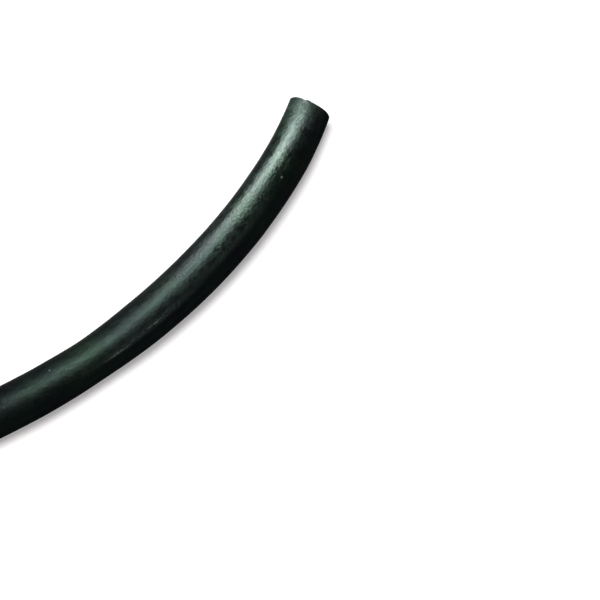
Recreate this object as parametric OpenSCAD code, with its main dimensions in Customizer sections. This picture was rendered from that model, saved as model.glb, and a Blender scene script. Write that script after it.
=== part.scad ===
// Porous rubber soaker hose, put away for the season. One end lies free, cut square.
// The rest is wound into a round coil, held by three cable ties, and its screw-on
// inlet coupling lies on top of the coil. Millimetres, +Z up. The origin is the middle
// of the footprint, on the surface that the hose lies on.

/* [Hose] */
// Outside diameter of the hose
hose_d = 16; // [14:0.5:17]
// Thickness of the hose wall
hose_wall = 2; // [1.5:0.1:2.5]

/* [Coil] */
// Radius of the outermost turn, at the middle of the hose
coil_r = 121; // [115:1:130]
// Room between one turn and the next
turn_gap = 0.5; // [0.45:0.05:1.5]
// Whole turns in each layer, which has three quarters of a turn more
whole_turns = 2; // [1:1:2]
// Share of a turn in which the hose climbs to the next layer
climb_turns = 0.5; // [0.3:0.05:0.6]

/* [Cable ties] */
// Thickness of the strap
tie_t = 1.2; // [0.8:0.1:1.6]
// Width of the strap
tie_w = 4.8; // [3.6:0.2:7.6]
// Room between the strap and the hose
tie_gap = 0.4; // [0.3:0.1:0.8]
// Height of the locking head above the strap
tie_head_h = 4.4; // [3:0.2:6]
// Length of the trimmed tail past the head
tie_tail = 11; // [6:1:20]

/* [Barbed tail] */
// How much wider the barbs are than the bore of the hose
barb_stretch = 1.5; // [1:0.1:2.2]
// Depth of one barb
barb_depth = 0.65; // [0.4:0.05:0.9]
// Length of one barb
barb_pitch = 4.6; // [3.5:0.1:5]
// Number of barbs
barb_count = 4; // [3:1:4]
// Bore of the tail
tail_bore_d = 9; // [7:0.5:9.5]
// Radius of the neck that the nut turns on
neck_r = 7.4; // [7.2:0.1:8.2]
// Radius of the flange that holds the nut on
flange_r = 11.5; // [9.5:0.1:12]
// Thickness of the flange
flange_t = 2.6; // [2:0.1:4]

/* [Swivel nut] */
// Minor radius of the 3/4 inch garden hose thread
thread_minor_r = 12.3; // [12.2:0.05:12.4]
// Depth of the thread, which the relief behind it clears
thread_depth = 1.35; // [1.2:0.05:1.5]
// Length of the thread
thread_len = 11.5; // [8:0.5:14]
// Wall outside the thread
nut_wall = 1.9; // [1.5:0.1:3]
// Height of the grip ribs
rib_h = 1.1; // [0.6:0.1:1.5]
// Number of grip ribs
rib_count = 24; // [12:2:32]
// Thickness of the lip behind the flange
lip_t = 3.3; // [2.4:0.1:4.5]
// Running room round the neck and behind the flange
swivel_gap = 0.2; // [0.1:0.05:0.35]

/* [Washer, strainer and restrictor] */
// Thickness of the washer
washer_t = 3.2; // [2.8:0.1:4]
// Radius of the washer
washer_r = 12.7; // [12.5:0.1:13]
// Radius of the hole in the washer
washer_hole_r = 7.8; // [7:0.1:8.2]
// Thickness of the strainer's rim
screen_t = 0.7; // [0.5:0.1:1]
// Spacing of the strainer's wires
wire_pitch = 1.7; // [1.4:0.1:2.4]
// Thickness of the strainer's wires
wire_t = 0.45; // [0.3:0.05:0.6]
// Radius of the restrictor disc
restrictor_r = 6.4; // [5.6:0.1:7]
// Thickness of the restrictor disc
restrictor_t = 2.2; // [1.6:0.1:3]
// Radius of the metering hole
orifice_r = 1.2; // [0.8:0.1:2]

/* [Hose clamp] */
// Width of the band
band_w = 9; // [7:0.5:10]
// Thickness of the band
band_t = 0.7; // [0.5:0.05:0.9]
// Distance from the end of the hose to the middle of the clamp
clamp_back = 11; // [9:0.5:12]
// Radius of the worm screw over its thread
worm_r = 3; // [2.6:0.1:3.4]
// Pitch of the worm thread
worm_pitch = 1.6; // [1.4:0.1:2]
// Number of thread ridges on the worm
worm_ridges = 5; // [4:1:5]
// Sheet thickness of the housing
housing_t = 0.6; // [0.5:0.1:0.8]
// Width of the screw head across its flats
head_flats = 7; // [6:0.5:8]
// Length of the screw head
head_len = 3.6; // [2.5:0.1:5]

/* [Hidden] */
$fn = 72;

hose_color = [0.10, 0.12, 0.11];
brass_color = [0.80, 0.62, 0.30];
steel_color = [0.74, 0.75, 0.76];
rubber_color = [0.06, 0.06, 0.06];
nylon_color = [0.13, 0.13, 0.13];
acetal_color = [0.90, 0.90, 0.86];

// ---- Hose ----
hose_r = hose_d / 2;
bore_r = hose_r - hose_wall;
run_sides = 12;
coil_sides = 6;

// ---- Coil ----
coil_x = -81;
coil_layers = 4;
rings_per_turn = 24;
entry_angle = 270;
pitch = hose_d + turn_gap;
layer_turns = whole_turns + 0.75;
coil_inner_r = coil_r - pitch * layer_turns;
first_z = tie_t + tie_gap + hose_r;
top_z = first_z + pitch * (coil_layers - 1);
coil_turns = layer_turns * coil_layers;

// The free run, from the cut face to the coil. Each point is [x, y, how far the
// hose is lifted off the surface].
free_points = [
    [202.5, 27.5, 0], [194.5, 9.5, 0], [178, -15.5, 0], [158, -38, 0],
    [135, -57.5, 0], [109.5, -73.5, 0], [81.5, -87.5, 0], [52, -99.5, 0],
    [22, -109, 0], [-8, -116, 0.5], [-37, -120, 1],
];
// The run from the coil to the coupling. Each point is [angle round the coil, how far
// it lies outside the outermost turn, height over the middle of the top layer].
inlet_points = [
    [250.5, 3.5, 1.5], [240, 4, 4.5], [226.5, 2, 8.5], [214, -2, 12],
    [200.5, -6.5, 15], [186.5, -10.5, 16.5], [173.5, -13.5, 16.5], [162.5, -15, 16.5],
    [148, -16, 17], [127.5, -17.5, 22], [115.5, -18.5, 24.5],
];
// The point of the inlet run that the second tie goes round
tied_point = 1;
// Where the run ends: left of the coil's middle, and inside the outermost turn
inlet_left = 17;
inlet_inside = 23;
// Room between the coupling's nut and the coil that it lies on
rest_gap = 0.35;

coil_start = [coil_x, -coil_r, first_z];
coil_end = [coil_x, -coil_r, top_z];
coil_in = coil_start + [hose_d, 0, 0];
coil_out = coil_end - [hose_d, 0, 0];
free_route = concat([for (p = free_points) [p.x, p.y, hose_r + p.z]], [coil_in]);

// ---- Inlet end ----
inlet_cone = 4;
// How far the hose's end reaches past the barbs, both ends together
past_barbs = 3.6;
barb_r = bore_r + barb_stretch / 2;
barb_len = barb_pitch * barb_count;
stretched_r = sqrt(barb_r * barb_r + hose_r * hose_r - bore_r * bore_r);
inlet_end_len = inlet_cone + barb_len + past_barbs;
tail_bore_r = tail_bore_d / 2;

// ---- Coupling, measured along its axis from the hose's end face ----
lip_start = 0.6;
lip_end = lip_start + lip_t;
flange_start = lip_end + swivel_gap;
flange_end = flange_start + flange_t;
washer_end = flange_end + washer_t;
thread_major_r = thread_minor_r + thread_depth;
thread_start = washer_end + 1.2;
thread_end = thread_start + thread_len;
mouth_len = 1.5;
nut_end = thread_end + mouth_len;
nut_r = thread_major_r + nut_wall;
nut_edge = 1;
rib_w = 1.8;
restrictor_gap = 0.1;
groove_gap = 0.1;
groove_depth = 0.9;

// ---- The run from the coil to the coupling, whose nut lies on the coil ----
function round_coil(angle, out, z) =
    [coil_x + (coil_r + out) * cos(angle), (coil_r + out) * sin(angle), z];
coupling_z = top_z + hose_r + rest_gap + nut_r + rib_h;
inlet_start = [coil_x - inlet_left, coil_r - inlet_inside, coupling_z];
inlet_route = concat(
    [coil_out],
    [for (p = inlet_points) round_coil(p.x, p.y, top_z + p.z)],
    [inlet_start]
);
// Middle of the hose's end face, where the coupling starts
coupling_at = inlet_start + [inlet_end_len, 0, 0];

// ---- Clamp, measured across the hose from its axis ----
band_gap = 0.1;
band_in_r = stretched_r + 0.05;
band_out_r = band_in_r + band_t;
floor_r = band_out_r + housing_t;
lap_in_r = floor_r + band_gap;
lap_out_r = lap_in_r + band_t;
worm_bite = 0.45;
worm_gap = 0.2;
worm_at = lap_out_r + worm_r - worm_bite;
worm_root_r = worm_r - 0.75;
worm_len = worm_pitch * (worm_ridges - 1) + worm_pitch / 2;
neck_hole_r = worm_root_r - 0.2;
case_len = worm_len + 2 * worm_gap + 2 * housing_t;
case_r = worm_r + worm_gap + housing_t;
slot_angle = worm_pitch / lap_out_r * 180 / PI;

// ---- Ties ----
tie_angles = [0, 240, 120];
tie_in_r = hose_r + tie_gap;
tie_out_r = tie_in_r + tie_t;
head_lean = 35;
// Room between the strap and the tail, and how deep the tail sits in the head
tail_gap = 1;
tail_root = 1;

// A ring of points round c, in the plane of the unit vectors a and b
function ring(c, a, b, r, sides) =
    [for (k = [0:sides - 1]) c + r * (cos(360 * k / sides) * a + sin(360 * k / sides) * b)];

function unit(v) = v / norm(v);

// Direction of a route at point i, straight at both ends
function heading(route, i) =
    i == 0 ? unit(route[1] - route[0]) :
    i == len(route) - 1 ? unit(route[i] - route[i - 1]) :
    unit(unit(route[i + 1] - route[i]) + unit(route[i] - route[i - 1]));

// Ring of a tube that heads along d at c: its first axis lies level
function tube_ring(c, d, r) =
    let (a = unit(cross([0, 0, 1], d)), b = cross(d, a))
    ring(c, a, b, r, run_sides);

// Two triangles for each side between one ring and the next
function side_faces(rings, sides, at, turned) = [
    for (i = [0:rings - 2], k = [0:sides - 1], half = [0, 1])
        let (
            a = at + i * sides + k,
            b = at + i * sides + (k + 1) % sides,
            c = b + sides,
            d = a + sides,
            f = half == 0 ? [a, b, c] : [a, c, d]
        )
        turned ? [f[2], f[1], f[0]] : f
];

// A tube with a bore, swept along the route from its point number `from`. The faces at
// its ends are square to the directions start and end.
module bored_tube(route, from, start, end) {
    last = len(route) - 1;
    count = last - from + 1;
    dirs = [for (i = [from:last]) i == from ? start : i == last ? end : heading(route, i)];
    outer = [for (i = [0:count - 1]) each tube_ring(route[from + i], dirs[i], hose_r)];
    inner = [for (i = [0:count - 1]) each tube_ring(route[from + i], dirs[i], bore_r)];
    bore_at = count * run_sides;
    ends = [
        for (tail = [0, 1], k = [0:run_sides - 1], half = [0, 1])
            let (
                o = tail * (count - 1) * run_sides,
                n = o + (k + 1) % run_sides,
                f = half == 0
                    ? [o + k, n, bore_at + n]
                    : [o + k, bore_at + n, bore_at + o + k]
            )
            tail == 0 ? f : [f[2], f[1], f[0]]
    ];
    polyhedron(
        points = concat(outer, inner),
        faces = concat(
            side_faces(count, run_sides, 0, true),
            side_faces(count, run_sides, bore_at, false),
            ends
        )
    );
}

// ---- The coil's one long turn: u counts turns from its start ----
function ease(t) = let (s = min(max(t, 0), 1)) s * s * (3 - 2 * s);

function turn_layer(u) = min(floor(u / layer_turns), coil_layers - 1);

function turn_r(u) =
    let (inward = pitch * (u - layer_turns * turn_layer(u)))
    turn_layer(u) % 2 == 0 ? coil_r - inward : coil_inner_r + inward;

function climbed(u, layer) = ease((u - layer * layer_turns) / climb_turns + 0.5);

function turn_z(u) = first_z + pitch * (climbed(u, 1) + climbed(u, 2) + climbed(u, 3));

function turn_angle(u) = entry_angle - 360 * u;

function outward(u) = [cos(turn_angle(u)), sin(turn_angle(u)), 0];

function turn_point(u) = [coil_x, 0, turn_z(u)] + turn_r(u) * outward(u);

coil_rings = concat(
    [ring(coil_in, outward(0), [0, 0, 1], hose_r, coil_sides)],
    [for (i = [0:coil_turns * rings_per_turn])
        let (u = i / rings_per_turn)
        ring(turn_point(u), outward(u), [0, 0, 1], hose_r, coil_sides)],
    [ring(coil_out, outward(coil_turns), [0, 0, 1], hose_r, coil_sides)]
);

// Least gap between points of different turns, at the same place round the coil
coil_gap = min([
    for (i = [1:len(coil_rings) - 2])
        for (j = [i + rings_per_turn:rings_per_turn:len(coil_rings) - 2])
            for (p = coil_rings[i], q = coil_rings[j]) norm(p - q)
]);

function length_of(route, i = 1) =
    i == len(route) ? 0 : norm(route[i] - route[i - 1]) + length_of(route, i + 1);

coil_len = 2 * hose_d + length_of([
    for (i = [0:coil_turns * rings_per_turn]) turn_point(i / rings_per_turn)
]);
echo(str("least gap in the coil: ", coil_gap, " mm"));
echo(str("length of the hose: ",
    length_of(free_route) + coil_len + length_of(inlet_route) + inlet_end_len, " mm"));

module hose_cut_end() {
    face = free_route[0];
    joint = free_route[1];
    color(hose_color)
        translate(joint)
        rotate([0, 0, atan2(face.y - joint.y, face.x - joint.x)])
        rotate([0, 90, 0])
        difference() {
            cylinder(r = hose_r, h = norm(face - joint));
            translate([0, 0, -1]) cylinder(r = bore_r, h = norm(face - joint) + 2);
        }
}

module hose_free_run() {
    color(hose_color)
        bored_tube(free_route, 1, unit(free_route[1] - free_route[0]), [-1, 0, 0]);
}

module hose_coil() {
    count = len(coil_rings);
    last = (count - 1) * coil_sides;
    caps = [
        for (k = [1:coil_sides - 2], tail = [0, 1])
            tail == 0 ? [0, k, k + 1] : [last, last + k + 1, last + k]
    ];
    color(hose_color)
        polyhedron(
            points = [for (r = coil_rings) each r],
            faces = concat(side_faces(count, coil_sides, 0, true), caps)
        );
}

module hose_inlet_run() {
    color(hose_color) bored_tube(inlet_route, 0, [-1, 0, 0], [1, 0, 0]);
}

// Places children on the coupling's axis: their +Z is the way the water comes from
module on_coupling() {
    translate(coupling_at) rotate([0, 90, 0]) children();
}

// The end of the hose, stretched over the barbs
module hose_inlet_end() {
    color(hose_color)
        on_coupling()
        rotate_extrude()
        polygon([
            [bore_r, -inlet_end_len], [hose_r, -inlet_end_len],
            [stretched_r, inlet_cone - inlet_end_len], [stretched_r, 0],
            [barb_r, 0], [barb_r, inlet_cone - inlet_end_len],
        ]);
}

module barbed_tail() {
    seat = flange_end - restrictor_t - restrictor_gap;
    barb_root_r = barb_r - barb_depth;
    color(brass_color)
        on_coupling()
        difference() {
            rotate_extrude()
                polygon(concat(
                    [[0, -barb_len - 2]],
                    [for (i = [0:barb_count - 1])
                        each [
                            [barb_root_r, i * barb_pitch - barb_len - 2],
                            [barb_r, (i + 1) * barb_pitch - barb_len - 3],
                            [barb_r, (i + 1) * barb_pitch - barb_len - 2.6],
                        ]],
                    [
                        [barb_root_r, -2], [barb_root_r, 0],
                        [neck_r, 0], [neck_r, flange_start],
                        [flange_r, flange_start], [flange_r, flange_end],
                        [0, flange_end],
                    ]
                ));
            translate([0, 0, -inlet_end_len]) cylinder(r = tail_bore_r, h = 2 * inlet_end_len);
            translate([0, 0, seat])
                cylinder(r = restrictor_r + restrictor_gap, h = flange_t + restrictor_t);
        }
}

module swivel_nut() {
    color(brass_color)
        on_coupling()
        difference() {
            union() {
                rotate_extrude()
                    polygon([
                        [0, lip_start], [nut_r - nut_edge, lip_start],
                        [nut_r, lip_start + nut_edge], [nut_r, nut_end - nut_edge],
                        [nut_r - nut_edge, nut_end], [0, nut_end],
                    ]);
                for (k = [0:rib_count - 1])
                    rotate([0, 0, 360 * k / rib_count])
                    translate([nut_r - 1, -rib_w / 2, lip_end])
                        cube([1 + rib_h, rib_w, nut_end - lip_end - 3 * nut_edge]);
            }
            translate([0, 0, -1]) cylinder(r = neck_r + swivel_gap, h = nut_end + 2);
            translate([0, 0, lip_end])
                cylinder(r = thread_major_r, h = thread_start - lip_end);
            translate([0, 0, lip_end]) cylinder(r = thread_minor_r, h = nut_end);
            translate([0, 0, thread_end])
                cylinder(r1 = thread_minor_r, r2 = thread_minor_r + mouth_len, h = mouth_len);
        }
}

module inlet_washer() {
    color(rubber_color)
        on_coupling()
        translate([0, 0, flange_end])
        difference() {
            cylinder(r = washer_r, h = washer_t);
            translate([0, 0, -1]) cylinder(r = washer_hole_r, h = washer_t + 2);
            translate([0, 0, (washer_t - screen_t) / 2 - groove_gap])
                cylinder(r = washer_hole_r + groove_depth, h = screen_t + 2 * groove_gap);
        }
}

module strainer_screen() {
    rim_r = washer_hole_r + groove_depth - groove_gap;
    net_r = washer_hole_r - 0.4;
    wires = floor(net_r / wire_pitch);
    color(steel_color)
        on_coupling()
        translate([0, 0, flange_end + (washer_t - screen_t) / 2]) {
            difference() {
                cylinder(r = rim_r, h = screen_t);
                translate([0, 0, -1]) cylinder(r = net_r, h = screen_t + 2);
            }
            intersection() {
                cylinder(r = net_r + 0.3, h = screen_t);
                union()
                    for (k = [-wires:wires], turn = [0, 90])
                        rotate([0, 0, turn])
                        translate([k * wire_pitch - wire_t / 2, -rim_r, 0])
                            cube([wire_t, 2 * rim_r, wire_t]);
            }
        }
}

module flow_restrictor() {
    color(acetal_color)
        on_coupling()
        translate([0, 0, flange_end - restrictor_gap - restrictor_t])
        difference() {
            cylinder(r = restrictor_r, h = restrictor_t);
            translate([0, 0, -1]) cylinder(r = orifice_r, h = restrictor_t + 2);
            translate([0, 0, restrictor_t / 2])
                cylinder(r1 = orifice_r, r2 = 3 * orifice_r, h = restrictor_t / 2 + 0.01);
        }
}

// Places children at the clamp: +X points up, +Z along the hose, +Y to the screw head
module at_clamp() {
    on_coupling() translate([0, 0, -clamp_back]) rotate([0, 0, 180]) children();
}

// The band: one strip that goes once round and then laps over its own start. The
// angles are counted from the middle of the housing.
band_start = -36;
ramp_start = 258;
ramp_end = 318;
band_end = 435;
function band_mid_r(a) =
    let (share = ease((a - ramp_start) / (ramp_end - ramp_start)))
    band_in_r + band_t / 2 + (lap_in_r - band_in_r) * share;

module clamp_band() {
    step = 3;
    color(steel_color)
        at_clamp()
        difference() {
            linear_extrude(height = band_w, center = true)
                polygon(concat(
                    [for (a = [band_start:step:band_end])
                        (band_mid_r(a) + band_t / 2) * [cos(a), sin(a)]],
                    [for (a = [band_end:-step:band_start])
                        (band_mid_r(a) - band_t / 2) * [cos(a), sin(a)]]
                ));
            for (k = [-3:8])
                rotate([0, 0, k * slot_angle])
                translate([lap_in_r - band_gap / 2, -worm_pitch / 3, -band_w / 3])
                    cube([2 * band_t, 2 * worm_pitch / 3, 2 * band_w / 3]);
        }
}

module clamp_housing() {
    half_w = band_w / 2 + band_gap + housing_t;
    cover_x = lap_out_r + band_gap + housing_t;
    color(steel_color)
        at_clamp()
        difference() {
            union() {
                translate([0, -case_len / 2, -half_w]) cube([cover_x, case_len, 2 * half_w]);
                translate([worm_at, -case_len / 2, 0])
                    rotate([-90, 0, 0]) cylinder(r = case_r, h = case_len);
            }
            cylinder(r = band_out_r, h = 4 * band_w, center = true);
            difference() {
                cylinder(r = lap_out_r + band_gap, h = band_w + 2 * band_gap, center = true);
                cylinder(r = floor_r, h = 2 * band_w, center = true);
            }
            translate([worm_at, housing_t - case_len / 2, 0])
                rotate([-90, 0, 0]) cylinder(r = worm_r + worm_gap, h = case_len - 2 * housing_t);
            translate([worm_at, -case_len, 0])
                rotate([-90, 0, 0]) cylinder(r = neck_hole_r + worm_gap / 2, h = 2 * case_len);
        }
}

module clamp_screw() {
    ridge_t = worm_pitch * 0.4;
    head_start = case_len / 2 + worm_gap;
    color(steel_color)
        at_clamp()
        translate([worm_at, 0, 0])
        rotate([-90, 0, 0]) {
            cylinder(r = worm_root_r, h = worm_len, center = true);
            for (k = [0:worm_ridges - 1])
                translate([0, 0, (k - (worm_ridges - 1) / 2) * worm_pitch])
                    cylinder(r = worm_r, h = ridge_t, center = true);
            translate([0, 0, -head_start]) cylinder(r = neck_hole_r, h = 2 * head_start);
            difference() {
                translate([0, 0, head_start])
                    cylinder(r = head_flats / sqrt(3), h = head_len, $fn = 6);
                translate([-head_flats, -0.6, head_start + head_len / 2])
                    cube([2 * head_flats, 1.2, head_len]);
            }
        }
}

// Where the hose crosses the upright plane at this angle round the coil, each as
// [distance from the coil's middle, height]. The second tie also holds the inlet run.
function tied_turns(number) =
    let (
        angle = tie_angles[number - 1],
        first = (entry_angle - angle) / 360,
        run = inlet_points[tied_point]
    )
    concat(
        [for (k = [0:coil_turns - first]) [turn_r(first + k), turn_z(first + k)]],
        number == 2 ? [[coil_r + run.y, top_z + run.z]] : []
    );

module strap_outline(turns, r) {
    hull()
        for (t = turns) translate(t) circle(r = r, $fn = 32);
}

module coil_tie(number) {
    turns = tied_turns(number);
    lean = [cos(head_lean), sin(head_lean)];
    furthest = max([for (t = turns) t * lean]);
    corner = [for (t = turns) if (t * lean == furthest) t][0];
    head_w = tie_w + 2.4;
    head_l = 7;
    color(nylon_color)
        translate([coil_x, 0, 0])
        rotate([0, 0, tie_angles[number - 1]])
        rotate([90, 0, 0]) {
            linear_extrude(height = tie_w, center = true)
                difference() {
                    strap_outline(turns, tie_out_r);
                    strap_outline(turns, tie_in_r);
                }
            translate(corner) rotate([0, 0, head_lean]) {
                translate([tie_out_r - tie_t / 2, -head_l / 2, -head_w / 2])
                    cube([tie_head_h + tie_t / 2, head_l, head_w]);
                translate([tie_out_r + tail_gap, -head_l / 2 - tie_tail, -tie_w / 2])
                    cube([tie_t, tie_tail + tail_root, tie_w]);
            }
        }
}

hose_cut_end();
hose_free_run();
hose_coil();
hose_inlet_run();
hose_inlet_end();
barbed_tail();
swivel_nut();
inlet_washer();
strainer_screen();
flow_restrictor();
clamp_band();
clamp_housing();
clamp_screw();
for (number = [1:3])
    coil_tie(number);
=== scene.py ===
"""A porous rubber soaker hose, put away: one end lies loose, the rest is a tied coil.

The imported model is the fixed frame. Each operator below makes one piece, or one group
of like pieces, at the place and the size that the frame gives. Lengths are in metres.
"""

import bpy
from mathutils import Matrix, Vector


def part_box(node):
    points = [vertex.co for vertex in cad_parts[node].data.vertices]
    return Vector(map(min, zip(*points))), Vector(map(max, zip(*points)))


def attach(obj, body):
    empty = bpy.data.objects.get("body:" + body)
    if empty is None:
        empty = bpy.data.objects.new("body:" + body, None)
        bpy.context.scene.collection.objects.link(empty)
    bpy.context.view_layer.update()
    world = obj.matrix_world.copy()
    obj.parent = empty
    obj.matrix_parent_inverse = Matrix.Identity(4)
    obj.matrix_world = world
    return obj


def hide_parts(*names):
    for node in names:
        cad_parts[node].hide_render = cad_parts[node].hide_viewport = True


bl_info = {
    "name": "Soaker Hose",
    "version": (1, 0, 0),
    "blender": (4, 5, 0),
    "location": "View3D > Sidebar > Soaker Hose",
    "description": "Makes a tied soaker hose with its inlet coupling, and a plain studio",
    "category": "Add Mesh",
}

import math
from contextlib import contextmanager

import bmesh
import bpy
import numpy as np
from bpy.props import FloatProperty, IntProperty, PointerProperty, StringProperty
from mathutils import Matrix, Quaternion, Vector, noise

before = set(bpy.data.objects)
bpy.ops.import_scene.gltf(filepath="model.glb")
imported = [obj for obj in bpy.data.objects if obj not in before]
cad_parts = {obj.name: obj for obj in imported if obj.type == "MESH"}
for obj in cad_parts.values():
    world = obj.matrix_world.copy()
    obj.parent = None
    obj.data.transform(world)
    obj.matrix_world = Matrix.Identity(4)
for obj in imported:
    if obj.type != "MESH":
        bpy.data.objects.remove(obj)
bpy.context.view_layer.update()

MM = 0.001
UP = np.array([0.0, 0.0, 1.0])


# -------------------- sizes and colours


def length(name, description, default):
    """A size that a user can change, in metres."""
    return FloatProperty(
        name=name, description=description, default=default, min=0.0,
        unit="LENGTH", subtype="DISTANCE", precision=5,
    )


def colour(name, description, default):
    """A colour that a user can change, as an sRGB hex value."""
    return StringProperty(name=name, description=description, default=default, maxlen=7)


class HoseSizes(bpy.types.PropertyGroup):
    """The hose and its coil"""

    diameter: length("Diameter", "Outside diameter of the hose", 16 * MM)
    wall: length("Wall", "Thickness of the hose wall", 2 * MM)
    coil_radius: length("Coil radius", "Radius of the outermost turn", 121 * MM)
    turn_gap: length("Turn gap", "Room between one turn and the next", 0.5 * MM)
    layers: IntProperty(name="Layers", description="Layers of turns", default=4, min=2, max=4)
    layer_turns: FloatProperty(
        name="Turns in a layer", description="Turns of the hose in each layer", default=2.75
    )
    climb_turns: FloatProperty(
        name="Climb", description="Share of a turn in which the hose climbs a layer", default=0.5
    )
    crumb: length("Crumb", "Width of one rubber crumb", 0.8 * MM)
    rubber: colour("Rubber", "Colour of the crumb rubber", "#06080b")


class TieSizes(bpy.types.PropertyGroup):
    """The cable ties round the coil"""

    thickness: length("Thickness", "Thickness of the strap", 1.2 * MM)
    width: length("Width", "Width of the strap", 4.8 * MM)
    gap: length("Gap", "Room between the strap and the hose", 0.4 * MM)
    nylon: colour("Nylon", "Colour of the ties", "#161717")


class CouplingSizes(bpy.types.PropertyGroup):
    """The inlet coupling and its clamp"""

    thread_pitch: length("Thread pitch", "Pitch of the inlet thread", 25.4 / 11.5 * MM)
    worm_pitch: length("Worm pitch", "Pitch of the clamp's screw", 1.6 * MM)
    brass: colour("Brass", "Colour of the coupling", "#dcbf82")
    steel: colour("Stainless steel", "Colour of the clamp", "#b9bbbd")
    zinc: colour("Zinc", "Colour of the clamp's screw", "#c3c4c0")
    washer: colour("Washer rubber", "Colour of the washer", "#131313")
    acetal: colour("Acetal", "Colour of the restrictor", "#e4e3da")


class StudioSettings(bpy.types.PropertyGroup):
    """The floor, the lights and the camera"""

    camera_distance: length("Camera distance", "From the camera to where it looks", 0.610)
    camera_elevation: FloatProperty(
        name="Camera elevation", description="Angle above the floor",
        default=math.radians(78), unit="ROTATION", subtype="ANGLE",
    )
    lens: FloatProperty(name="Lens", description="Focal length in millimetres", default=105)
    floor_size: length("Floor", "Side of the floor", 24.0)
    key: FloatProperty(name="Key", description="Strength of the overhead light", default=2.7)
    strips: FloatProperty(name="Strips", description="Power of both strip lights, in watts", default=10.3)
    fill: FloatProperty(name="Fill", description="Strength of the world's light", default=0.22)


# -------------------- small tools


def linear(code):
    """An sRGB hex value as linear red, green, blue and alpha."""
    parts = [int(code[i:i + 2], 16) / 255 for i in (1, 3, 5)]
    return tuple(c / 12.92 if c <= 0.04045 else ((c + 0.055) / 1.055) ** 2.4 for c in parts) + (1.0,)


def per_metre(size):
    """The scale at which a pattern's features are this wide."""
    return 1.0 / size


def new_material(name):
    """A material with an empty node tree, and that tree."""
    made = bpy.data.materials.new(name)
    made.use_nodes = True
    made.node_tree.nodes.clear()
    return made, made.node_tree


def add_node(tree, kind, sockets=None, stops=(), **settings):
    """Adds a shader node with its settings, its sockets and, on a ramp, its stops. A socket
    takes a value, an output, or the first output in use of another node."""
    node = tree.nodes.new("ShaderNode" + kind)
    for name, value in settings.items():
        setattr(node, name, value)
    for name, given in (sockets or {}).items():
        if isinstance(given, bpy.types.Node):
            given = [output for output in given.outputs if output.enabled][0]
        if isinstance(given, bpy.types.NodeSocket):
            tree.links.new(given, node.inputs[name])
        else:
            node.inputs[name].default_value = given
    if stops:
        held = node.color_ramp.elements
        while len(held) < len(stops):
            held.new(0.5)
        for stop, (position, shade) in zip(held, stops):
            stop.position = position
            stop.color = shade
    return node


def deselect_all():
    for chosen in list(bpy.context.selected_objects):
        chosen.select_set(False)


def use(piece):
    """Makes a piece the only selected object, and the active one."""
    deselect_all()
    piece.select_set(True)
    bpy.context.view_layer.objects.active = piece


def placed(name, mesh):
    """Puts a mesh in the scene as an object, and makes it the active one."""
    made = bpy.data.objects.new(name, mesh)
    bpy.context.scene.collection.objects.link(made)
    use(made)
    return made


def dress(piece, material):
    """Gives a piece, or a carried-over node, one material."""
    if not piece.material_slots:
        piece.data.materials.append(material)
    for held in piece.material_slots:
        held.material = material


def hand_over(piece, body, slot, material, *stands_for):
    """Settles a finished piece: its body, its material and its nodes. The slot is not used."""
    dress(piece, material)
    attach(piece, body)
    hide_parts(*stands_for)


# -------------------- the hose's route

CURVE_STEPS = 40


def ease(t):
    """A smooth step from 0 to 1."""
    s = np.clip(t, 0.0, 1.0)
    return s * s * (3 - 2 * s)


def between(s, gap, low, high, low_slope, high_slope):
    """A smooth line's value, at this share of the gap between two of its points."""
    return (
        (2 * s ** 3 - 3 * s ** 2 + 1) * low + (s ** 3 - 2 * s ** 2 + s) * gap * low_slope
        + (3 * s ** 2 - 2 * s ** 3) * high + (s ** 3 - s ** 2) * gap * high_slope
    )


def smooth_curve(points, start, end):
    """Close points on the smooth curve through `points`, with its two end directions."""
    p = np.asarray(points, float)
    count = len(p)
    h = np.linalg.norm(np.diff(p, axis=0), axis=1)
    sums = np.eye(count)
    sides = np.zeros((count, 3))
    sides[0], sides[-1] = start, end
    for i in range(1, count - 1):
        sums[i, i - 1:i + 2] = h[i], 2 * (h[i - 1] + h[i]), h[i - 1]
        sides[i] = 3 * (h[i] * (p[i] - p[i - 1]) / h[i - 1] + h[i - 1] * (p[i + 1] - p[i]) / h[i])
    slope = np.linalg.solve(sums, sides)
    made = []
    for i in range(count - 1):
        for s in np.arange(CURVE_STEPS) / CURVE_STEPS:
            made.append(between(s, h[i], p[i], p[i + 1], slope[i], slope[i + 1]))
    return np.array(made + [p[-1]])


def along_curve(points):
    """Distance of each point along its curve."""
    return np.concatenate([[0.0], np.cumsum(np.linalg.norm(np.diff(points, axis=0), axis=1))])


def at_distances(points, wanted):
    """The places on a curve of close points at the wanted distances."""
    run = along_curve(points)
    return np.column_stack([np.interp(wanted, run, points[:, k]) for k in range(3)])


COIL_X = -81 * MM
COIL_FLOOR_GAP = 1.6 * MM
ENTRY_ANGLE = 270
CUT_HEADING = math.radians(70)
INTO_HOSE = [-math.cos(CUT_HEADING), -math.sin(CUT_HEADING), 0]

# From the cut face to the coil: x, y and how far the hose is lifted off the floor
FREE_POINTS = [
    (202.5, 27.5, 0), (194.5, 9.5, 0), (178, -15.5, 0), (158, -38, 0),
    (135, -57.5, 0), (109.5, -73.5, 0), (81.5, -87.5, 0), (52, -99.5, 0),
    (22, -109, 0), (-8, -116, 0.5), (-37, -120, 1),
]
# From the coil to the coupling: angle round the coil, how far outside the outermost
# turn, and height over the middle of the top layer
INLET_POINTS = [
    (250.5, 3.5, 1.5), (240, 4, 4.5), (226.5, 2, 8.5), (214, -2, 12),
    (200.5, -6.5, 15), (186.5, -10.5, 16.5), (173.5, -13.5, 16.5), (162.5, -15, 16.5),
    (148, -16, 17), (127.5, -17.5, 22), (115.5, -18.5, 24.5),
]
INLET_START = (-98, 98, 84.1)
TIED_POINT = 1

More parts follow.
